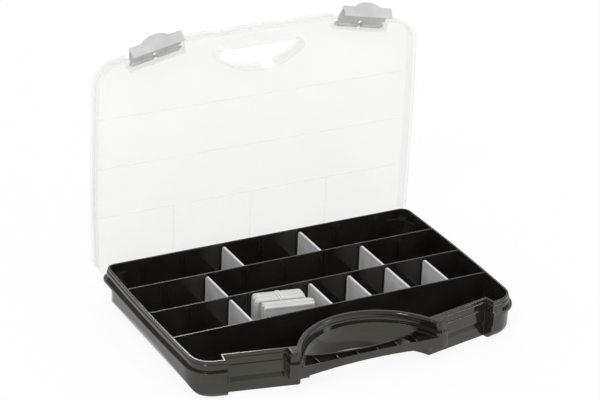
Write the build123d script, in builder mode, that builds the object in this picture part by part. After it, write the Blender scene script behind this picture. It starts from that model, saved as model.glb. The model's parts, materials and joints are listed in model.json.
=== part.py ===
import os
from math import atan2, cos, degrees, hypot, radians, sin, sqrt, tan

from build123d import *

os.makedirs("parts", exist_ok=True)

# The case lies flat with its handle towards -Y, and its lid stands open at the back.
# The origin is under the middle of the tray. All sizes are in millimetres.

# Tray plan, measured at the inner edge of the lip
half_width_ends = 175.7
half_width_middle = 178.0
inner_depth = 239.0
front_angle = 11.3
handle_half_width = 81.0
back_corner_radius = 8.0
front_corner_radius = 20.0
body_back_radius = 31.0
body_front_radius = 25.0
space_back_radius = 24.0
post_round = 2.8

# Outward steps of the rim from the inner edge of the lip
lip_width = 2.2
band_width = 3.3
body_width = 4.6
flange_width = 6.5

# Heights, measured up from the underside or down from the top of the lip
tray_height = 40.5
lip_drop = 3.3
ledge_drop = 10.7
flange_thickness = 2.8
floor_thickness = 2.0
side_rounding = 20.0
bottom_rounding = 8.0
inner_rounding = 1.5
lip_round = 0.7
band_round = 1.0
flange_round = 0.8

# Finger arch in the tray and the carrying handle in front of it
arch_radius = 86.6
arch_wall_gap = 22.1
arch_band_drop = 18.0
arch_bead_width = 4.4
arch_bead_drop = 6.6
arch_bead_round = 2.0
arch_foot_round = 2.0
lug_radius = 4.4
lug_inset = 0.4
lug_round = 1.6
pillar_round = 4.5
handle_end_drop = 27.4
handle_middle_drop = 21.8
handle_curve_drop = 25.6
handle_top_drop = 14.8
handle_curve_half = 68.0
handle_lens_radius = 225.0
handle_width = 12.4
handle_wall = 1.8
handle_rib = 1.0
handle_rib_pitch = 21.9
handle_rib_count = 6
handle_rib_drop = 1.6

# Latch bays in the front, one each side of the handle
bay_middle_x = 115.0
bay_half_length = 34.9
bay_setback = 11.4
catch_top_drop = 23.5
catch_height = 6.0
catch_depth = 3.4

# Rows, walls and slots for the loose dividers
row_count = 4
row_pitch = 55.0
wall_thickness = 1.6
wall_drop = 0.2
slot_pitch = 45.0
slot_count = 7
rib_width = 0.9
rib_depth = 1.3
rib_drop = 4.0
flare_width = 8.0
flare_height = 5.0

# Loose dividers
divider_bead = 2.6
divider_web = 1.5
divider_frame = 2.6
divider_height = 36.5
divider_corner = 4.0
divider_foot_corner = inner_rounding
divider_edge = 0.8
divider_clearance = 0.25
floor_clearance = 0.2
inserted_dividers = {1: (3, 5), 2: (2, 6), 3: (2, 4, 5, 6, 7)}

# Spare dividers, kept standing in one compartment
banded_spares = 7
loose_spares = 5
spare_row = 3
spare_middle_x = -40.0
spare_back_gap = 6.1
spare_turn = -10.4
loose_shift = 5.0
spare_slips = (0.0, 0.7, -0.5, 1.0, 0.3, -0.8, 0.4, 0.0, 1.4, -0.9, 0.8, -0.4)
band_thickness = 0.9
band_strand = 1.5
band_strand_gap = 0.8

# Lid, drawn shut and then turned open about the hinge
lid_gap = 0.4
lid_wall = 1.7
lid_rise = 6.0
lid_plate = 1.8
lid_flange_width = 7.5
lid_flange_thickness = 2.4
lid_seat_gap = 0.3
lid_top_round = 1.5
lid_stop_gap = 0.2
lid_hole_radius = 74.2
lid_hole_front = 47.7
lid_hole_corner = 6.0
lid_line_width = 0.9
lid_line_depth = 0.8
lid_open_angle = 90.0

# Lid hinge along the back
hinge_y_offset = 5.0
hinge_drop = 18.0
hinge_radius = 2.4
hinge_pin_radius = 1.5
hinge_pin_fit = 0.05
hinge_pin_length = 4.0
hinge_gap = 0.4
hinge_boss_radius = 2.9
hinge_boss_length = 6.0
hinge_width = 20.0
hinge_places = (-135.0, -67.5, 0.0, 67.5, 135.0)
back_trim = 7.0
stop_places = (-101.0, 101.0)
stop_width = 14.0
stop_reach = 13.5
stop_height = 9.5

# Latches, drawn shut in the bay's own directions: out from the bay wall, and up
latch_barrel_out = 8.6
latch_barrel_drop = 9.5
latch_barrel_radius = 2.8
latch_leg = 24.0
latch_leg_out = 4.6
latch_shoulder = 6.0
latch_thickness = 1.8
latch_hook_tip_out = 3.9
latch_hook_rise = 2.6
latch_half_width = 28.6
latch_barrel_half = 26.3
latch_tab_half = 16.5
latch_tab_length = 5.8
latch_pin_radius = 1.4
latch_pin_fit = 0.05
latch_end_gap = 0.4
cheek_thickness = 2.4
knuckle_half = 2.0
latch_open_angle = 55.0

# Places worked out from the sizes above
reach = 60.0
touch = 1.0
quarter_turn = 90.0
slope = tan(radians(front_angle))
back_y = inner_depth / 2
front_y = -inner_depth / 2
ledge_z = tray_height - ledge_drop
flange_z = ledge_z - flange_thickness
handle_end_z = tray_height - handle_end_drop
arch_y = back_y - (row_count - 1) * row_pitch - arch_wall_gap - arch_radius
floor_z = floor_thickness
wall_top_z = tray_height - wall_drop
rib_top_z = tray_height - rib_drop
hinge_y = back_y + hinge_y_offset
hinge_z = tray_height - hinge_drop
lid_inner_width = band_width + lid_gap
lid_outer_width = lid_inner_width + lid_wall
lid_seat_z = ledge_z + lid_seat_gap
back_skirt_z = lid_seat_z + lid_flange_thickness
lid_top_z = tray_height + lid_rise
hinge_axis = Axis((0, hinge_y, hinge_z), (1, 0, 0))
bay_line_y = front_y + bay_setback / cos(radians(front_angle)) - handle_half_width * slope
barrel_z = lid_top_z - latch_barrel_drop


def wall_y(row):
    return back_y - row * row_pitch


def slot_x(column):
    return (column - (slot_count + 1) / 2) * slot_pitch


def bay_point(side, along, out):
    angle = radians(front_angle)
    x = bay_middle_x + along * cos(angle) + out * sin(angle)
    y = bay_line_y + bay_middle_x * slope + along * sin(angle) - out * cos(angle)
    return (side * x, y)


def bay_plane(side):
    angle = radians(front_angle)
    x, y = bay_point(side, 0, 0)
    return Plane(
        origin=(x, y, 0),
        x_dir=(side * sin(angle), -cos(angle), 0),
        z_dir=(-cos(angle), -side * sin(angle), 0),
    )


# The tray's plan, grown outwards by a step of the rim
def plan_face(step, back_radius=back_corner_radius, front_radius=front_corner_radius):
    turn = step * tan(radians(front_angle / 2))
    handle_x = handle_half_width + turn
    corner_x = half_width_ends + step
    front = front_y - step
    back = back_y + step
    corner_y = front + (corner_x - handle_x) * slope
    middle_y = (corner_y + back) / 2
    with BuildSketch() as plan:
        with BuildLine():
            Polyline((-corner_x, corner_y), (-handle_x, front), (handle_x, front), (corner_x, corner_y))
            ThreePointArc((corner_x, corner_y), (half_width_middle + step, middle_y), (corner_x, back))
            Line((corner_x, back), (-corner_x, back))
            ThreePointArc((-corner_x, back), (-half_width_middle - step, middle_y), (-corner_x, corner_y))
        make_face()
        fillet(plan.vertices().group_by(Axis.Y)[-1], back_radius + step)
        fillet(plan.vertices().group_by(Axis.Y)[1], front_radius + step)
    return plan.sketch


# The two latch bays, shrunk by the same step
def bay_faces(step):
    with BuildSketch() as bays:
        for side in (-1, 1):
            with BuildLine():
                length = bay_half_length - step
                Polyline(
                    bay_point(side, -length, reach),
                    bay_point(side, -length, step),
                    bay_point(side, length, step),
                    bay_point(side, length, reach),
                    close=True,
                )
            make_face()
    return bays.sketch


# Everything in front of the line that joins the two bays
def notch_face(step):
    length = bay_half_length - step
    middle_y = bay_line_y - step / cos(radians(front_angle))
    with BuildSketch() as notch:
        with BuildLine():
            Polyline(
                bay_point(-1, length, reach),
                bay_point(-1, length, step),
                (0, middle_y),
                bay_point(1, length, step),
                bay_point(1, length, reach),
                close=True,
            )
        make_face()
    return notch.sketch


def arch_face(step):
    with BuildSketch() as arch:
        with Locations((0, arch_y)):
            Circle(arch_radius - step)
    return arch.sketch


# A closed layer of the rim: the plan without its bays and its finger arch
def rim_layer(step, bay_step, bottom, top, rounding):
    with BuildPart() as layer:
        with BuildSketch(Plane.XY.offset(bottom)) as outline:
            add(plan_face(step))
            add(bay_faces(bay_step), mode=Mode.SUBTRACT)
            add(arch_face(step), mode=Mode.SUBTRACT)
            posts = outline.vertices().filter_by(lambda v: v.Y < front_y and abs(v.X) < bay_middle_x - bay_setback)
            fillet(posts, post_round)
        extrude(amount=top - bottom)
        fillet(layer.faces().sort_by(Axis.Z)[-1].edges(), rounding)
    return layer.part


# A long bar with rounded lower edges, which rounds the sides of what it meets
def side_trim(half_width, bottom, rounding):
    with BuildPart() as trim:
        with BuildSketch(Plane.XZ):
            with Locations((0, bottom + tray_height)):
                RectangleRounded(2 * half_width, 2 * tray_height, rounding)
        extrude(amount=inner_depth, both=True)
    return trim.part


def tray_body():
    arch_step_radius = arch_radius - body_width
    with BuildPart() as body:
        with BuildSketch():
            add(plan_face(body_width, body_back_radius, body_front_radius))
        extrude(amount=flange_z)
        fillet(body.faces().sort_by(Axis.Z)[0].edges(), bottom_rounding)
        add(side_trim(half_width_middle + body_width, 0, side_rounding), mode=Mode.INTERSECT)
        with BuildSketch():
            add(bay_faces(body_width))
            add(notch_face(body_width))
            add(arch_face(body_width))
        extrude(amount=tray_height, mode=Mode.SUBTRACT)
        arch_edges = body.edges().filter_by(GeomType.CIRCLE).group_by(Axis.Z)[0]
        fillet(arch_edges.filter_by(lambda e: abs(e.radius - arch_step_radius) < touch), arch_foot_round)
        add(pillars())
    return body.part


# The two pillars between the latch bays and the arch, which carry the ends of the handle
def pillars():
    with BuildPart() as pair:
        with BuildSketch(Plane.XY.offset(handle_end_z)) as feet:
            add(plan_face(flange_width))
            add(notch_face(body_width - touch), mode=Mode.INTERSECT)
            add(bay_faces(body_width), mode=Mode.SUBTRACT)
            add(arch_face(body_width), mode=Mode.SUBTRACT)
            front_corners = feet.vertices().filter_by(lambda v: v.Y < front_y)
            fillet(front_corners.sort_by(lambda v: abs(v.X))[-2:], post_round)
        extrude(amount=flange_z - handle_end_z)
        outer_edges = pair.faces().sort_by(Axis.Z)[:2].edges().sort_by(lambda e: abs(e.center().X))
        fillet(outer_edges[-2:], pillar_round)
    return pair.part


# The space inside the tray, less its walls and slot ribs
def tray_space():
    with BuildPart() as space:
        with BuildSketch(Plane.XY.offset(floor_z)):
            add(plan_face(0, space_back_radius, body_front_radius))
        extrude(amount=tray_height)
        fillet(space.faces().sort_by(Axis.Z)[0].edges(), inner_rounding)
        add(side_trim(half_width_middle, floor_z, side_rounding - body_width / 2), mode=Mode.INTERSECT)
        with BuildSketch(Plane.XY.offset(ledge_z)):
            add(plan_face(0))
        extrude(amount=tray_height)
        with BuildSketch():
            add(notch_face(0))
            add(arch_face(0))
        extrude(amount=3 * tray_height, mode=Mode.SUBTRACT)
        for row in range(1, row_count):
            with Locations((0, wall_y(row), 0)):
                Box(
                    4 * half_width_middle,
                    wall_thickness,
                    wall_top_z,
                    align=(Align.CENTER, Align.CENTER, Align.MIN),
                    mode=Mode.SUBTRACT,
                )
        with BuildSketch(Plane.XZ.offset(-back_y)):
            for column in range(1, slot_count + 1):
                add(slot_ribs(column))
        extrude(amount=rib_depth, mode=Mode.SUBTRACT)
        for row in range(1, row_count):
            faces = (1,) if row == row_count - 1 else (1, -1)
            for facing in faces:
                face_y = wall_y(row) + facing * wall_thickness / 2
                with BuildSketch(Plane.XZ.offset(-face_y)):
                    for column in range(1, slot_count + 1):
                        add(slot_ribs(column))
                extrude(amount=-facing * rib_depth, mode=Mode.SUBTRACT)
    return space.part


# A pair of upright ribs that open into a funnel at the top
def slot_ribs(column):
    gap = divider_bead / 2 + divider_clearance
    neck_z = rib_top_z - flare_height
    with BuildSketch() as ribs:
        for side in (-1, 1):
            with BuildLine():
                Polyline(
                    (side * gap, 0),
                    (side * gap, neck_z),
                    (side * (flare_width / 2 - rib_width), rib_top_z),
                    (side * flare_width / 2, rib_top_z),
                    (side * (gap + rib_width), neck_z),
                    (side * (gap + rib_width), 0),
                    close=True,
                )
            make_face()
    return ribs.sketch.moved(Location((slot_x(column), 0, 0)))


# The handle: a ribbed channel, open at the top, between the arch and the front
def handle_face(arch_step, front_step, lens_step):
    lens_y = front_y - flange_width + handle_width + handle_lens_radius
    with BuildSketch() as face:
        add(plan_face(front_step))
        add(arch_face(arch_step), mode=Mode.INTERSECT)
        with Locations((0, lens_y)):
            Circle(handle_lens_radius + lens_step, mode=Mode.SUBTRACT)
    return face.sketch


def handle():
    middle_z = tray_height - handle_middle_drop
    curve_z = tray_height - handle_curve_drop
    channel_z = middle_z + handle_wall
    top_z = tray_height - handle_top_drop
    half_wall = handle_wall / 2
    with BuildPart() as grip:
        with BuildSketch(Plane.XY.offset(handle_end_z)):
            add(handle_face(body_width - touch, flange_width, 0))
        extrude(amount=top_z - handle_end_z)
        with BuildSketch(Plane.XY.offset(channel_z)):
            add(handle_face(flange_width + handle_wall, flange_width - handle_wall, handle_wall))
        extrude(amount=ledge_z, mode=Mode.SUBTRACT)
        with BuildSketch(Plane.XY.offset(channel_z - half_wall)):
            with Locations((0, front_y)):
                with GridLocations(handle_rib_pitch, 1, handle_rib_count, 1):
                    Rectangle(handle_rib, reach)
            add(
                handle_face(flange_width + half_wall, flange_width - half_wall, half_wall),
                mode=Mode.INTERSECT,
            )
        extrude(amount=top_z - handle_rib_drop - channel_z + half_wall)
        with BuildSketch(Plane.XZ):
            with BuildLine():
                Polyline(
                    (-handle_curve_half, curve_z),
                    (-handle_curve_half, handle_end_z),
                    (handle_curve_half, handle_end_z),
                    (handle_curve_half, curve_z),
                )
                ThreePointArc((handle_curve_half, curve_z), (0, middle_z), (-handle_curve_half, curve_z))
            make_face()
        extrude(amount=inner_depth, both=True, mode=Mode.SUBTRACT)
    return grip.part


# The whole tray. The catch for each latch is a pocket that is deepest under its upper edge.
def make_base_tray():
    catch_z = tray_height - catch_top_drop
    with BuildPart() as base_tray:
        add(tray_body())
        add(rim_layer(flange_width, body_width, flange_z, ledge_z, flange_round))
        with BuildSketch(Plane.XY.offset(tray_height - arch_band_drop)):
            add(plan_face(body_width))
            add(arch_face(body_width - touch), mode=Mode.INTERSECT)
            add(arch_face(flange_width), mode=Mode.SUBTRACT)
        extrude(amount=arch_band_drop - ledge_drop)
        add(handle())
        add(rim_layer(band_width, band_width, ledge_z, tray_height - lip_drop, band_round))
        add(rim_layer(lip_width, lip_width, tray_height - lip_drop, tray_height, lip_round))
        add(arch_bead())
        add(arch_lugs())
        add(tray_space(), mode=Mode.SUBTRACT)
        for side in (-1, 1):
            with BuildSketch(bay_plane(side)):
                with BuildLine():
                    Polyline(
                        (body_width, catch_z - catch_height),
                        (body_width - catch_depth, catch_z),
                        (body_width + touch, catch_z),
                        (body_width + touch, catch_z - catch_height),
                        close=True,
                    )
                make_face()
            extrude(amount=latch_half_width + latch_end_gap, both=True, mode=Mode.SUBTRACT)
        add(hinge_bosses())
        add(hinge_notches(), mode=Mode.SUBTRACT)
    return base_tray.part


# The rounded bead along the top of the arch, which stands out from its wall
def arch_bead():
    with BuildPart() as bead:
        with BuildSketch(Plane.XY.offset(tray_height - arch_bead_drop)):
            add(plan_face(lip_width))
            add(arch_face(0), mode=Mode.INTERSECT)
            add(arch_face(arch_bead_width), mode=Mode.SUBTRACT)
        extrude(amount=arch_bead_drop)
        inner_face = bead.faces().filter_by(GeomType.CYLINDER).sort_by(SortBy.AREA)[0]
        fillet(inner_face.edges().filter_by(GeomType.CIRCLE), arch_bead_round)
    return bead.part


# A rounded lug at each end of the arch, from the ledge up to the top of the lip
def arch_lugs():
    lug_x = handle_half_width - lug_inset
    lug_y = front_y - band_width + lug_radius
    with BuildPart() as lugs:
        with BuildSketch(Plane.XY.offset(ledge_z - touch)):
            with Locations((-lug_x, lug_y), (lug_x, lug_y)):
                Circle(lug_radius)
        extrude(amount=ledge_drop + touch)
        fillet(lugs.faces().sort_by(Axis.Z)[-2:].edges(), lug_round)
    return lugs.part


# Bosses for the hinge pins and stops for the open lid, along the back of the tray
def hinge_bosses():
    half = hinge_width / 2 + hinge_gap + hinge_boss_length
    stop_top = hinge_z - hinge_seat_depth()
    with BuildPart() as bosses:
        for place in hinge_places:
            with BuildSketch(Plane.YZ.offset(place)):
                with Locations((hinge_y, hinge_z)):
                    Circle(hinge_boss_radius)
                with Locations((back_y + body_width / 2, hinge_z - hinge_boss_radius / 2)):
                    Rectangle(body_width, hinge_boss_radius)
            extrude(amount=half, both=True)
        for place in stop_places:
            with BuildSketch(Plane.YZ.offset(place)):
                with BuildLine():
                    Polyline(
                        (back_y + body_width - touch, stop_top),
                        (back_y + body_width + stop_reach, stop_top),
                        (back_y + body_width, stop_top - stop_height),
                        (back_y + body_width - touch, stop_top - stop_height),
                        close=True,
                    )
                make_face()
            extrude(amount=stop_width / 2, both=True)
    return bosses.part


# Notches that the lid's knuckles turn in, and the holes for their pins
def hinge_notches():
    half = hinge_width / 2 + hinge_gap
    with BuildPart() as notches:
        for place in hinge_places:
            with BuildSketch(Plane.YZ.offset(place)):
                with Locations((hinge_y, hinge_z)):
                    Circle(hinge_boss_radius)
                with Locations((hinge_y, (hinge_z + ledge_z) / 2)):
                    Rectangle(2 * hinge_boss_radius, ledge_z - hinge_z)
                with Locations((hinge_y + reach / 2, hinge_z)):
                    Rectangle(reach, 2 * hinge_boss_radius)
            extrude(amount=half, both=True)
            with BuildSketch(Plane.YZ.offset(place)):
                with Locations((hinge_y, hinge_z)):
                    Circle(hinge_pin_radius + hinge_pin_fit)
            extrude(amount=half + hinge_pin_length + hinge_gap, both=True)
    return notches.part


# How far the open lid's back skirt lies below the hinge, with a little play
def hinge_seat_depth():
    return lid_outer_width - hinge_y_offset + lid_stop_gap


def lens_face(step):
    with BuildSketch() as lens:
        with Locations((0, arch_y)):
            Circle(lid_hole_radius + step)
        with Locations((0, arch_y + lid_hole_front - step + reach)):
            Rectangle(4 * lid_hole_radius, 2 * reach, mode=Mode.INTERSECT)
        fillet(lens.vertices(), lid_hole_corner + step)
    return lens.sketch


def lid_layer(step, bay_step, bottom, top):
    with BuildPart() as layer:
        with BuildSketch(Plane.XY.offset(bottom)):
            add(plan_face(step))
            add(bay_faces(bay_step), mode=Mode.SUBTRACT)
        extrude(amount=top - bottom)
    return layer.part


def make_lid():
    inner_top = lid_top_z - lid_plate
    with BuildPart() as lid:
        add(lid_layer(lid_outer_width, lid_outer_width, lid_seat_z, lid_top_z))
        fillet(lid.faces().sort_by(Axis.Z)[-1].edges(), lid_top_round)
        flange_top = lid_seat_z + lid_flange_thickness
        add(lid_layer(lid_flange_width, lid_outer_width, lid_seat_z, flange_top))
        add(lid_layer(lid_inner_width, lid_inner_width, lid_seat_z, inner_top), mode=Mode.SUBTRACT)
        with BuildSketch(Plane.XY.offset(lid_seat_z)):
            add(lens_face(lid_wall))
        extrude(amount=inner_top + lid_plate / 2 - lid_seat_z)
        with BuildSketch(Plane.XY.offset(lid_seat_z)):
            add(lens_face(0))
        extrude(amount=2 * tray_height, mode=Mode.SUBTRACT)
        add(lid_lines(inner_top))
        with Locations((0, back_y + reach / 2 - back_trim, lid_seat_z)):
            Box(
                4 * half_width_middle,
                reach,
                2 * lid_flange_thickness,
                mode=Mode.SUBTRACT,
            )
        add(lid_hinges())
        for side in (-1, 1):
            add(latch_cheeks(side))
    return lid.part


# Raised lines under the lid, which run above the walls and the first row's slots
def lid_lines(inner_top):
    with BuildPart() as lines:
        with BuildSketch(Plane.XY.offset(inner_top - lid_line_depth)):
            for row in range(1, row_count):
                with Locations((0, wall_y(row))):
                    Rectangle(2 * half_width_ends, lid_line_width)
            for column in range(2, slot_count, 2):
                with Locations((slot_x(column), back_y - row_pitch / 2)):
                    Rectangle(lid_line_width, row_pitch + lid_line_width)
        extrude(amount=lid_line_depth + lid_plate / 2)
        with BuildSketch():
            add(lens_face(lid_wall / 2))
        extrude(amount=2 * tray_height, mode=Mode.SUBTRACT)
    return lines.part


# Knuckles that hang from the back skirt, with a pin through each
def lid_hinges():
    with BuildPart() as knuckles:
        for place in hinge_places:
            with BuildSketch(Plane.YZ.offset(place)):
                with Locations((hinge_y, hinge_z)):
                    Circle(hinge_radius)
                with BuildLine():
                    Polyline(
                        (back_y + lid_inner_width, back_skirt_z + lid_wall),
                        (back_y + lid_outer_width, back_skirt_z + lid_wall),
                        (hinge_y + hinge_radius, hinge_z),
                        (hinge_y - hinge_radius, hinge_z),
                        (back_y + lid_inner_width, ledge_z),
                        close=True,
                    )
                make_face()
            extrude(amount=hinge_width / 2, both=True)
            with BuildSketch(Plane.YZ.offset(place)):
                with Locations((hinge_y, hinge_z)):
                    Circle(hinge_pin_radius)
            extrude(amount=hinge_width / 2 + hinge_pin_length, both=True)
    return knuckles.part


# Two cheeks and a middle knuckle that carry a latch's barrel in its bay
def latch_cheeks(side):
    plane = bay_plane(side)
    cheek = cheek_thickness / 2
    cheek_middle = latch_barrel_half + latch_end_gap + cheek
    wall_out = lid_outer_width - lid_wall / 2
    with BuildPart() as cheeks:
        for along, half in ((-cheek_middle, cheek), (0, knuckle_half), (cheek_middle, cheek)):
            with BuildSketch(plane.offset(along)):
                with Locations((latch_barrel_out, barrel_z)):
                    Circle(latch_barrel_radius)
                with Locations(((wall_out + latch_barrel_out) / 2, barrel_z)):
                    Rectangle(latch_barrel_out - wall_out, 2 * latch_barrel_radius)
            extrude(amount=half, both=True)
        with BuildSketch(plane):
            with Locations((latch_barrel_out, barrel_z)):
                Circle(latch_pin_radius + latch_pin_fit)
        extrude(amount=bay_half_length, both=True, mode=Mode.SUBTRACT)
    return cheeks.part


# A straight bar with round ends, drawn from its start to its end
def bar_face(start, end, thickness):
    across = end[0] - start[0]
    up = end[1] - start[1]
    with BuildSketch() as face:
        with Locations((start[0] + across / 2, start[1] + up / 2)):
            SlotCenterToCenter(hypot(across, up), thickness, rotation=degrees(atan2(up, across)))
    return face.sketch


def make_latch(side):
    plane = bay_plane(side)
    apex_z = barrel_z - sqrt(latch_leg ** 2 - latch_leg_out ** 2)
    barrel = (latch_barrel_out, barrel_z)
    apex = (latch_barrel_out + latch_leg_out, apex_z)
    tip = (latch_hook_tip_out, apex_z + latch_hook_rise)
    with BuildPart() as latch:
        with BuildSketch(plane):
            with Locations(barrel):
                Circle(latch_barrel_radius)
        extrude(amount=latch_barrel_half, both=True)
        with BuildSketch(plane):
            add(bar_face(barrel, apex, latch_thickness))
            add(bar_face(apex, tip, latch_thickness))
        extrude(amount=latch_half_width, both=True)
        with Locations(plane):
            for end in (-1, 1):
                with Locations((*barrel, end * (latch_barrel_half + reach / 2))):
                    Box(reach, 2 * latch_shoulder, reach, mode=Mode.SUBTRACT)
        with BuildSketch(plane):
            with Locations(barrel):
                Circle(latch_shoulder)
        extrude(amount=knuckle_half + latch_end_gap, both=True, mode=Mode.SUBTRACT)
        with BuildSketch(plane):
            with Locations(barrel):
                Circle(latch_pin_radius)
        extrude(amount=latch_barrel_half + latch_end_gap + cheek_thickness, both=True)
        with BuildSketch(tab_plane(plane, apex, tip)):
            with BuildLine():
                Line((-latch_tab_half, 0), (latch_tab_half, 0))
                ThreePointArc((latch_tab_half, 0), (0, latch_tab_length), (-latch_tab_half, 0))
            make_face()
        extrude(amount=latch_thickness / 2, both=True)
    return latch.part


# The plane of the thumb tab: it runs on from the hook, past the apex
def tab_plane(plane, apex, tip):
    outward = plane.x_dir * (apex[0] - tip[0]) + plane.y_dir * (apex[1] - tip[1])
    return Plane(
        origin=plane.from_local_coords((*apex, 0)),
        x_dir=plane.z_dir,
        z_dir=plane.z_dir.cross(outward),
    )


# A loose divider, standing across its row: a thin web in a thicker frame with rounded edges
def make_divider():
    width = row_pitch - wall_thickness - 2 * divider_clearance
    with BuildPart() as divider:
        with BuildSketch(Plane.YZ):
            Rectangle(width, divider_height)
        extrude(amount=divider_bead / 2, both=True)
        fillet(divider.edges().filter_by(Axis.X).group_by(Axis.Z)[-1], divider_corner)
        fillet(divider.edges().filter_by(Axis.X).group_by(Axis.Z)[0], divider_foot_corner)
        fillet(divider.faces().filter_by(Axis.X).edges(), divider_edge)
        for facing in (-1, 1):
            with BuildSketch(Plane.YZ.offset(facing * divider_bead / 2)):
                Rectangle(width - 2 * divider_frame, divider_height - 2 * divider_frame)
            extrude(amount=-facing * (divider_bead - divider_web) / 2, mode=Mode.SUBTRACT)
    return divider.part


# A double elastic loop round the rear spare dividers
def make_spare_band():
    held = banded_spares * divider_bead
    low = floor_z + floor_clearance + band_thickness
    with BuildPart() as spare_band:
        for side in (-1, 1):
            with BuildSketch(Plane.YZ.offset(side * (band_strand + band_strand_gap) / 2)):
                with Locations((-held / 2, low + divider_height / 2)):
                    outer = held + 2 * band_thickness, divider_height + 2 * band_thickness
                    RectangleRounded(*outer, band_thickness)
                    Rectangle(held, divider_height, mode=Mode.SUBTRACT)
            extrude(amount=band_strand / 2, both=True)
    return spare_band.part


def write(name, shape):
    shape.label = name
    export_step(shape, f"parts/{name}.step")


write("base_tray", make_base_tray())
write("lid", make_lid().rotate(hinge_axis, -lid_open_angle))
for side, name in ((-1, "latch_left"), (1, "latch_right")):
    plane = bay_plane(side)
    barrel = plane.from_local_coords((latch_barrel_out, barrel_z, 0))
    swung = make_latch(side).rotate(Axis(barrel, plane.z_dir), latch_open_angle)
    write(name, swung.rotate(hinge_axis, -lid_open_angle))
    opened_barrel = Vertex(barrel.X, barrel.Y, barrel.Z).rotate(hinge_axis, -lid_open_angle)
    print(name, "barrel at", opened_barrel.center())

loose_divider = make_divider()
standing_z = floor_z + floor_clearance + divider_height / 2
for row, columns in inserted_dividers.items():
    for column in columns:
        middle = (slot_x(column), wall_y(row) + row_pitch / 2, standing_z)
        write(f"divider_row{row}_slot{column}", Location(middle) * loose_divider)

# The spare dividers stand in one compartment, and the loose ones are upside down
spare_y = wall_y(spare_row - 1) - spare_back_gap
for number in range(1, banded_spares + loose_spares + 1):
    loose = number > banded_spares
    depth = (number - 0.5) * divider_bead + (band_thickness + floor_clearance if loose else 0)
    along = spare_slips[number - 1] + (loose_shift if loose else 0)
    middle = (
        spare_middle_x + along * cos(radians(spare_turn)) + depth * sin(radians(spare_turn)),
        spare_y + along * sin(radians(spare_turn)) - depth * cos(radians(spare_turn)),
        standing_z if loose else standing_z + band_thickness,
    )
    upright = Location((0, 0, 0), (2 * quarter_turn if loose else 0, 0, 0))
    placed = Location(middle, (0, 0, quarter_turn + spare_turn)) * upright * loose_divider
    write(f"spare_divider_{number}", placed)
write("spare_band", Location((spare_middle_x, spare_y, 0), (0, 0, spare_turn)) * make_spare_band())
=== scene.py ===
import json

import bpy
import numpy as np
from mathutils import Matrix, Vector


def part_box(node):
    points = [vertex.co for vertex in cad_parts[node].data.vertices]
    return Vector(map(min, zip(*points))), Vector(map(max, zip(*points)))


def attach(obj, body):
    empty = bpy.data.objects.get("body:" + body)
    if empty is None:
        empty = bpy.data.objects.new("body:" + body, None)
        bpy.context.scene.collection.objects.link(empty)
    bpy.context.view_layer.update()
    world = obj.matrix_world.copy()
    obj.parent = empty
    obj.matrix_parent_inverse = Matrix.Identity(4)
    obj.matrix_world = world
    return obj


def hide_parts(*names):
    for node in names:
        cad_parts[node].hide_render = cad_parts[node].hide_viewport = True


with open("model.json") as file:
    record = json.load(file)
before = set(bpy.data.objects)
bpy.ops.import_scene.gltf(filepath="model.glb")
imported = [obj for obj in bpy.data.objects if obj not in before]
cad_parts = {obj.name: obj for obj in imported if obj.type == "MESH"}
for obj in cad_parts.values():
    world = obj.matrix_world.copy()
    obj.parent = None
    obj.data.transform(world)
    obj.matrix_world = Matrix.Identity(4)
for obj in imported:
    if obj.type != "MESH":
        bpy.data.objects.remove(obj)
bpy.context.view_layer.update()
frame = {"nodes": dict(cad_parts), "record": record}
scene = bpy.context.scene
scene.view_settings.view_transform = "Standard"
print("frame loaded:", len(frame["nodes"]), "nodes")


# Camera, worked out from the photograph's straight edges
shot = {
    "place": (-1.04328, -1.90574, 1.16927),
    "right": (0.888532524876909, -0.4572752010195714, 0.03754121426346649),
    "up": (0.16672059667249076, 0.3980156203709937, 0.9021018837059712),
    "back": (-0.4274508098963361, -0.7952879707836674, 0.4298870184662045),
    "lens": 144.0,
    "sensor": 36.0,
    "near": 0.1,
    "far": 60.0,
}


def addCamera(shot):
    data = bpy.data.cameras.new("camera")
    data.lens = shot["lens"]
    data.sensor_width = shot["sensor"]
    data.clip_start = shot["near"]
    data.clip_end = shot["far"]
    camera = bpy.data.objects.new("camera", data)
    scene.collection.objects.link(camera)
    turn = Matrix((shot["right"], shot["up"], shot["back"])).transposed()
    camera.matrix_world = Matrix.Translation(shot["place"]) @ turn.to_4x4()
    scene.camera = camera


addCamera(shot)
print("camera placed")


# Studio: soft lamps, a pale floor and a white surround
studio = {
    "worldStrength": 0.78,
    "skyLow": 1.0,  # what a gloss mirrors at the horizon
    "skyHigh": 0.5,  # and overhead
    "skyTurn": (0.2, 0.6),  # the heights in the sky between which it fades, 1 being overhead
    "lamps": {
        "keyLamp": {"place": (-1.3, -1.1, 2.1), "size": 0.42, "power": 15.0},
        "fillLamp": {"place": (1.9, -1.2, 1.2), "size": 0.42, "power": 6.5},
        "backLamp": {"place": (0.7, 1.9, 1.5), "size": 0.45, "power": 8.0},
    },
    "aim": (0.0, 0.0, 0.05),
    "floorColour": (0.92, 0.92, 0.92, 1.0),
    "floorGlow": 0.9,
    "floorReach": 20.0,
    "floorDrop": 0.0002,  # keeps the paper and the tray's underside apart
    "shade": {  # painted shade on the paper along the foot of the arch, which the case keeps the light from
        "middle": (0.0, -0.079, 0.0),
        "radii": (0.075, 0.0125, 1.0),
        "edge": (0.7, 1.0),  # where the shade starts to fade and where it ends, in radii
        "left": 0.1,  # share of the glow that stays inside
    },
}


def addLamp(name, lamp, aim):
    data = bpy.data.lights.new(name, "AREA")
    data.shape = "SQUARE"
    data.size = lamp["size"]
    data.energy = lamp["power"]
    obj = bpy.data.objects.new(name, data)
    scene.collection.objects.link(obj)
    obj.location = lamp["place"]
    obj.rotation_euler = (Vector(aim) - Vector(lamp["place"])).to_track_quat("-Z", "Y").to_euler()
    obj.visible_camera = False


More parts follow.
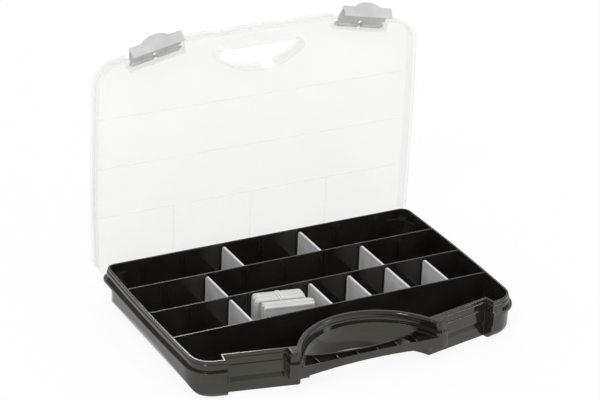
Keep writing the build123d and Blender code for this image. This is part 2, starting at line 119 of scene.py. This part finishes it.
# A value that runs from the first to the second end while its input goes through the turn
def fadeBetween(nodes, turn, ends):
    fade = nodes.new("ShaderNodeMapRange")
    fade.inputs["From Min"].default_value, fade.inputs["From Max"].default_value = turn
    fade.inputs["To Min"].default_value, fade.inputs["To Max"].default_value = ends
    return fade


# One for rays that meet the white surround: from the camera, off a gloss and through a glass
def whiteRays(nodes, links):
    path = nodes.new("ShaderNodeLightPath")
    either = nodes.new("ShaderNodeMath")
    either.operation = "MAXIMUM"
    links.new(path.outputs["Is Camera Ray"], either.inputs[0])
    links.new(path.outputs["Is Glossy Ray"], either.inputs[1])
    anyRay = nodes.new("ShaderNodeMath")
    anyRay.operation = "MAXIMUM"
    links.new(either.outputs[0], anyRay.inputs[0])
    links.new(path.outputs["Is Transmission Ray"], anyRay.inputs[1])
    return anyRay.outputs[0]


# Soft light for the case itself. A gloss mirrors a sky that fades from the horizon upward, and the
# camera sees plain white.
def addWorld(studio):
    world = bpy.data.worlds.new("surround")
    scene.world = world
    world.use_nodes = True
    nodes, links = world.node_tree.nodes, world.node_tree.links
    nodes.clear()
    soft = nodes.new("ShaderNodeBackground")
    soft.inputs["Strength"].default_value = studio["worldStrength"]
    white = nodes.new("ShaderNodeBackground")
    path = nodes.new("ShaderNodeLightPath")
    toward = nodes.new("ShaderNodeTexCoord").outputs["Generated"]  # where in the sky a ray ends
    height = nodes.new("ShaderNodeSeparateXYZ")
    fade = fadeBetween(nodes, studio["skyTurn"], (studio["skyLow"], studio["skyHigh"]))
    whole = nodes.new("ShaderNodeMix")
    whole.inputs["A"].default_value = 1.0
    links.new(toward, height.inputs[0])
    links.new(height.outputs["Z"], fade.inputs["Value"])
    links.new(path.outputs["Is Glossy Ray"], whole.inputs["Factor"])
    links.new(fade.outputs["Result"], whole.inputs["B"])
    links.new(whole.outputs["Result"], white.inputs["Strength"])
    for background in (soft, white):
        background.inputs["Color"].default_value = (1.0, 1.0, 1.0, 1.0)
    mix = nodes.new("ShaderNodeMixShader")
    output = nodes.new("ShaderNodeOutputWorld")
    links.new(whiteRays(nodes, links), mix.inputs[0])
    links.new(soft.outputs[0], mix.inputs[1])
    links.new(white.outputs[0], mix.inputs[2])
    links.new(mix.outputs[0], output.inputs[0])


# Painted shade: an oval that keeps a part of the glow inside and all of it outside
def ovalShade(nodes, links, shade):
    place = nodes.new("ShaderNodeTexCoord").outputs["Object"]
    moved = nodes.new("ShaderNodeVectorMath")
    moved.operation = "SUBTRACT"
    moved.inputs[1].default_value = shade["middle"]
    scaled = nodes.new("ShaderNodeVectorMath")
    scaled.operation = "DIVIDE"
    scaled.inputs[1].default_value = shade["radii"]
    distance = nodes.new("ShaderNodeVectorMath")
    distance.operation = "LENGTH"
    fade = fadeBetween(nodes, shade["edge"], (shade["left"], 1.0))
    links.new(place, moved.inputs[0])
    links.new(moved.outputs[0], scaled.inputs[0])
    links.new(scaled.outputs[0], distance.inputs[0])
    links.new(distance.outputs["Value"], fade.inputs["Value"])
    return fade.outputs["Result"]


def addFloor(studio):
    reach = studio["floorReach"]
    signs = ((-1, -1), (1, -1), (1, 1), (-1, 1))
    corners = [(reach * x, reach * y, 0.0) for x, y in signs]
    mesh = bpy.data.meshes.new("floor")
    mesh.from_pydata(corners, [], [(0, 1, 2, 3)])
    floor = bpy.data.objects.new("floor", mesh)
    floor.location.z = -studio["floorDrop"]
    scene.collection.objects.link(floor)
    material = bpy.data.materials.new("floorPaper")
    material.use_nodes = True
    nodes, links = material.node_tree.nodes, material.node_tree.links
    nodes.clear()
    paper = nodes.new("ShaderNodeBsdfDiffuse")
    paper.inputs["Color"].default_value = studio["floorColour"]
    glow = nodes.new("ShaderNodeEmission")
    share = nodes.new("ShaderNodeMath")
    share.operation = "MULTIPLY"
    share.inputs[1].default_value = studio["floorGlow"]
    shaded = nodes.new("ShaderNodeMath")
    shaded.operation = "MULTIPLY"
    mix = nodes.new("ShaderNodeMixShader")
    output = nodes.new("ShaderNodeOutputMaterial")
    links.new(whiteRays(nodes, links), share.inputs[0])
    links.new(share.outputs[0], shaded.inputs[0])
    # painted shade: the glow is lowered inside the oval
    links.new(ovalShade(nodes, links, studio["shade"]), shaded.inputs[1])
    links.new(shaded.outputs[0], mix.inputs[0])
    links.new(paper.outputs[0], mix.inputs[1])
    links.new(glow.outputs[0], mix.inputs[2])
    links.new(mix.outputs[0], output.inputs[0])
    mesh.materials.append(material)


addWorld(studio)
addFloor(studio)
for lampName, lamp in studio["lamps"].items():
    addLamp(lampName, lamp, studio["aim"])
print("studio lit")


# Moulded plastics. Each has two tones that drift over the piece, a roughness that drifts too, a
# fine grain on the surface, and edges that are rounded a little for the light.
blackPlastic = {
    "dark": (0.0105, 0.0095, 0.0072),
    "light": (0.0185, 0.0172, 0.0135),
    "drift": 26.0,
    "smooth": 0.06,
    "rough": 0.13,
    "grain": 2600.0,
    "grainDepth": 0.00002,
    "edge": 0.0006,
    "gloss": 0.68,
    "tint": (1.0, 1.0, 0.88),
}
clearPlastic = {
    "dark": (0.80, 0.81, 0.77),
    "light": (0.88, 0.89, 0.85),
    "drift": 14.0,
    "smooth": 0.12,
    "rough": 0.22,
    "grain": 1500.0,
    "grainDepth": 0.00001,
    "edge": 0.0005,
    "gloss": 0.5,
    "alphaFace": 0.085,
    "alphaEdge": 0.34,
}
greyPlastic = {
    "dark": (0.57, 0.57, 0.57),
    "light": (0.64, 0.64, 0.64),
    "drift": 60.0,
    "smooth": 0.24,
    "rough": 0.40,
    "grain": 3000.0,
    "grainDepth": 0.00002,
    "edge": 0.0004,
    "gloss": 0.5,
}
dividerPlastic = {
    "dark": (0.62, 0.62, 0.62),
    "light": (0.72, 0.72, 0.72),
    "drift": 50.0,
    "smooth": 0.30,
    "rough": 0.46,
    "grain": 3200.0,
    "grainDepth": 0.00002,
    "edge": 0.0006,
    "gloss": 0.5,
}
sparePlastic = dict(
    dividerPlastic,
    dark=(0.61, 0.61, 0.605),
    light=(0.71, 0.71, 0.705),
    tones=3,
    step=0.07,  # how much darker each tone is than the one before, as a share of the first
    stride=2,  # tones to go on by from one spare to the next
)
elastic = {
    "dark": (0.70, 0.70, 0.69),
    "light": (0.90, 0.90, 0.89),
    "drift": 900.0,
    "smooth": 0.55,
    "rough": 0.75,
    "grain": 5200.0,
    "grainDepth": 0.00012,
    "edge": 0.0003,
    "gloss": 0.3,
}

# What all the plastics share
moulding = {
    "toneDetail": 3.0,
    "toneTurn": (0.35, 0.65),  # values of the noise between which the tone turns from dark to light
    "sheenScale": 4.0,  # the roughness drifts on a finer scale than the tone
    "sheenDetail": 4.0,
    "sheenTurn": (0.3, 0.7),
    "grainDetail": 2.0,
    "grainStrength": 0.6,
    "edgeSamples": 6,
    "facingBlend": 0.35,
}


def noise(nodes, links, place, scale, detail):
    texture = nodes.new("ShaderNodeTexNoise")
    texture.inputs["Scale"].default_value = scale
    texture.inputs["Detail"].default_value = detail
    links.new(place, texture.inputs["Vector"])
    return texture.outputs["Fac"]


def mouldedPlastic(name, look):
    material = bpy.data.materials.new(name)
    material.use_nodes = True
    nodes, links = material.node_tree.nodes, material.node_tree.links
    shader = nodes["Principled BSDF"]
    place = nodes.new("ShaderNodeTexCoord").outputs["Object"]
    drift = noise(nodes, links, place, look["drift"], moulding["toneDetail"])
    tones = nodes.new("ShaderNodeValToRGB")
    stops = tones.color_ramp.elements
    for stop, position, tone in zip(stops, moulding["toneTurn"], ("dark", "light")):
        stop.position = position
        stop.color = (*look[tone], 1.0)
    links.new(drift, tones.inputs[0])
    links.new(tones.outputs[0], shader.inputs["Base Color"])
    scale = look["drift"] * moulding["sheenScale"]
    sheen = noise(nodes, links, place, scale, moulding["sheenDetail"])
    sheenDrift = fadeBetween(nodes, moulding["sheenTurn"], (look["smooth"], look["rough"]))
    links.new(sheen, sheenDrift.inputs["Value"])
    links.new(sheenDrift.outputs["Result"], shader.inputs["Roughness"])
    edge = nodes.new("ShaderNodeBevel")
    edge.samples = moulding["edgeSamples"]
    edge.inputs["Radius"].default_value = look["edge"]
    bump = nodes.new("ShaderNodeBump")
    bump.inputs["Strength"].default_value = moulding["grainStrength"]
    bump.inputs["Distance"].default_value = look["grainDepth"]
    grain = noise(nodes, links, place, look["grain"], moulding["grainDetail"])
    links.new(grain, bump.inputs["Height"])
    links.new(edge.outputs["Normal"], bump.inputs["Normal"])
    links.new(bump.outputs["Normal"], shader.inputs["Normal"])
    shader.inputs["Specular IOR Level"].default_value = look["gloss"]
    if "tint" in look:
        shader.inputs["Specular Tint"].default_value = (*look["tint"], 1.0)
    if "alphaFace" in look:
        facing = nodes.new("ShaderNodeLayerWeight")
        facing.inputs["Blend"].default_value = moulding["facingBlend"]
        cover = fadeBetween(nodes, (0.0, 1.0), (look["alphaFace"], look["alphaEdge"]))
        links.new(facing.outputs["Facing"], cover.inputs["Value"])
        links.new(cover.outputs["Result"], shader.inputs["Alpha"])
    return material


finishes = {
    "black_plastic": mouldedPlastic("blackPlastic", blackPlastic),
    "clear_plastic": mouldedPlastic("clearPlastic", clearPlastic),
    "grey_plastic": mouldedPlastic("greyPlastic", greyPlastic),
    "divider_plastic": mouldedPlastic("dividerPlastic", dividerPlastic),
    "white_elastic": mouldedPlastic("elastic", elastic),
}


# Spare dividers come from different mouldings, so their tones go round in a few steps
def spareTones(settings):
    made = []
    for number in range(settings["tones"]):
        share = 1.0 - settings["step"] * number
        look = dict(settings)
        for tone in ("dark", "light"):
            look[tone] = tuple(share * value for value in settings[tone])
        made.append(mouldedPlastic(f"sparePlastic{number + 1}", look))
    return made


spareFinishes = spareTones(sparePlastic)


def dressNodes(frame):
    slots = {row["node"]: row["material_slot"] for row in frame["record"]["subparts"]}
    for name, obj in frame["nodes"].items():
        finish = finishes[slots[name]]
        if name.startswith("spare_divider"):
            turn = sparePlastic["stride"] * int(name.split("_")[-1])
            finish = spareFinishes[turn % len(spareFinishes)]
        for materialSlot in obj.material_slots:
            materialSlot.material = finish


dressNodes(frame)
print("nodes dressed")


# Puts a grid of points, closed both ways, into a mesh: quad (i, j) joins its own point to the next
# ones along and around, with the last row and column joined back to the first
def closedGrid(name, points):
    along, around = points.shape[:2]
    index = np.arange(along * around).reshape(along, around)
    ahead = np.roll(index, -1, axis=0)
    beside = [np.roll(row, -1, axis=1) for row in (ahead, index)]
    quads = np.stack([index, ahead, *beside], axis=-1)
    count = along * around
    mesh = bpy.data.meshes.new(name)
    mesh.vertices.add(count)
    mesh.vertices.foreach_set("co", points.reshape(-1))
    mesh.loops.add(4 * count)
    mesh.loops.foreach_set("vertex_index", quads.reshape(-1))
    mesh.polygons.add(count)
    mesh.polygons.foreach_set("loop_start", np.arange(0, 4 * count, 4))
    mesh.polygons.foreach_set("use_smooth", np.ones(count, dtype=bool))
    mesh.update(calc_edges=True)
    piece = bpy.data.objects.new(name, mesh)
    scene.collection.objects.link(piece)
    return piece


# The elastic round the spare dividers: two strands of covered rubber, each one turn of the stack
elasticBand = {
    "strands": 2,
    "spacing": 0.0023,  # between the middles of the strands
    "width": 0.0015,
    "thick": 0.00085,
    "square": 18.0,  # power of the loop's outline: 2 is an oval, more is squarer
    "ribs": 96,
    "ripple": 0.09,  # how far the ribs stand out, as a share of the thickness
    "wander": 0.0003,  # how far a strand sways to either side
    "wanderTurns": 3,  # times that a strand sways in one round
    "wanderPhase": 2.1,  # so that the two strands don't sway as one
    "turn": -10.4,  # degrees, as the stack stands
    "stackDepth": 0.0182,  # the seven spares together
    "along": 768,  # points along a strand
    "around": 12,  # and round its profile
}


# The path is y = a sgn(cos t) |cos t|^(2/n), z = b sgn(sin t) |sin t|^(2/n), and x sways a little.
# The oval profile has its width along x and its thickness along the path's outward side, and both
# swell by 1 + ripple cos(ribs t), so the covering shows as fine ribs.
def elasticStrand(number, settings, low, high):
    turn = np.radians(settings["turn"])
    cosTurn, sinTurn = np.cos(turn), np.sin(turn)
    depth = settings["stackDepth"] / 2 + settings["thick"] / 2
    height = (high[2] - low[2]) / 2 - settings["thick"] / 2
    t = np.linspace(0.0, 2 * np.pi, settings["along"], endpoint=False)
    power = 2.0 / settings["square"]
    y = depth * np.sign(np.cos(t)) * np.abs(np.cos(t)) ** power
    z = height * np.sign(np.sin(t)) * np.abs(np.sin(t)) ** power
    side = (number - (settings["strands"] - 1) / 2) * settings["spacing"]
    sway = settings["wanderTurns"] * t + settings["wanderPhase"] * number
    x = side + settings["wander"] * np.sin(sway)
    dy = np.roll(y, -1) - np.roll(y, 1)
    dz = np.roll(z, -1) - np.roll(z, 1)
    length = np.hypot(dy, dz)
    outward = np.stack([np.zeros_like(t), dz / length, -dy / length], axis=-1)
    swell = 1.0 + settings["ripple"] * np.cos(settings["ribs"] * t)
    a = np.linspace(0.0, 2 * np.pi, settings["around"], endpoint=False)
    wide = swell[:, None] * np.cos(a)[None, :] * settings["width"] / 2
    thick = swell[:, None] * np.sin(a)[None, :] * settings["thick"] / 2
    path = np.stack([x, y, z], axis=-1)
    points = path[:, None, :] + outward[:, None, :] * thick[..., None]
    points[..., 0] += wide
    turned = np.empty_like(points)
    turned[..., 0] = points[..., 0] * cosTurn - points[..., 1] * sinTurn
    turned[..., 1] = points[..., 0] * sinTurn + points[..., 1] * cosTurn
    turned[..., 2] = points[..., 2]
    middle = (np.array(low) + np.array(high)) / 2
    return closedGrid(f"elastic_strand_{number + 1}", turned + middle)


bandLow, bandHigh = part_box("spare_band")
for number in range(elasticBand["strands"]):
    strand = elasticStrand(number, elasticBand, bandLow, bandHigh)
    strand.data.materials.append(finishes["white_elastic"])
    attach(strand, "spare_stack")
    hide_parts("spare_band")
print("elastic band wound:", elasticBand["strands"], "strands")
